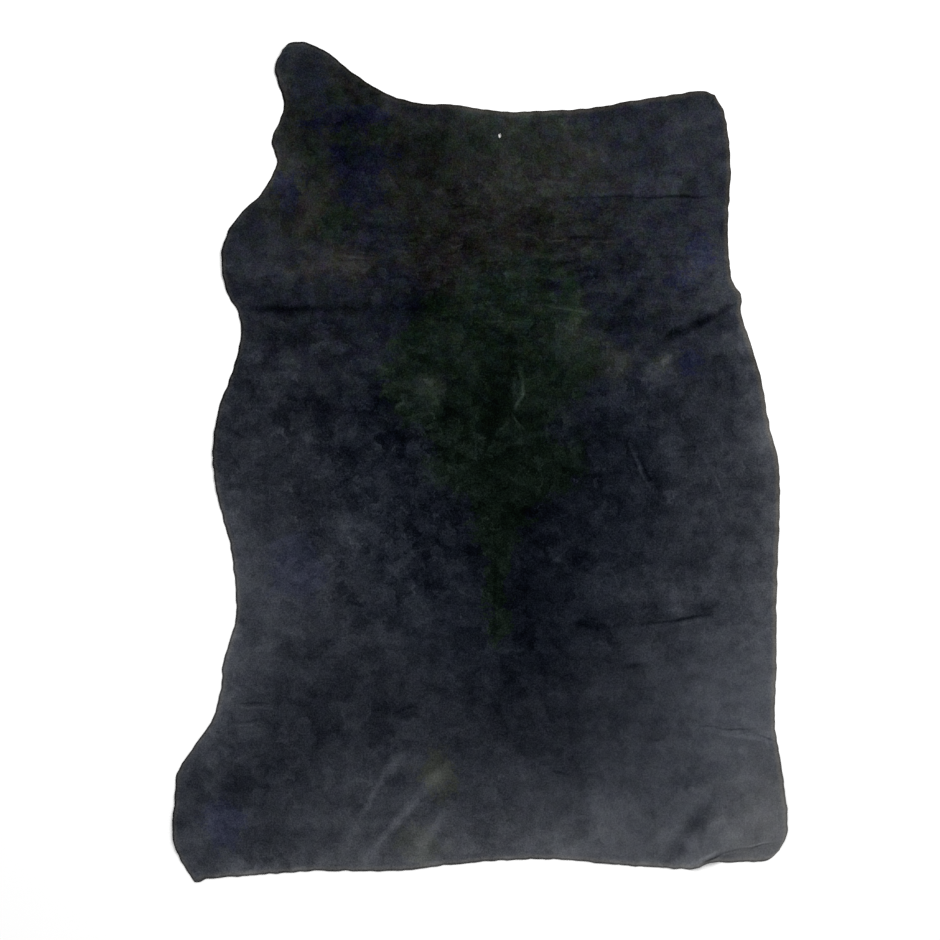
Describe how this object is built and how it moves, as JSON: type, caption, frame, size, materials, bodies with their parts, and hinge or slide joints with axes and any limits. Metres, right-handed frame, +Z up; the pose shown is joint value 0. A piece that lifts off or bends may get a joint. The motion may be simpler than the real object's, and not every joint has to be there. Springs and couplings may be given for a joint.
{
  "type": "pigskin hide",
  "caption": "Whole dyed pigskin suede hide laid flat, with a natural wavy outline, soft creases, a tuck at one rump corner and a small pin hole near the neck.",
  "frame": {"origin": "under the middle of the hide's box, on the surface it lies on", "axes": "+X across the hide, +Y from the rump to the neck, +Z up out of the nap side"},
  "size_m": [1.0086, 1.3773, 0.0072],
  "materials": {
    "suede": "matte"
  },
  "bodies": {
    "root": {"pigskin_hide": "suede"}
  },
  "joints": []
}
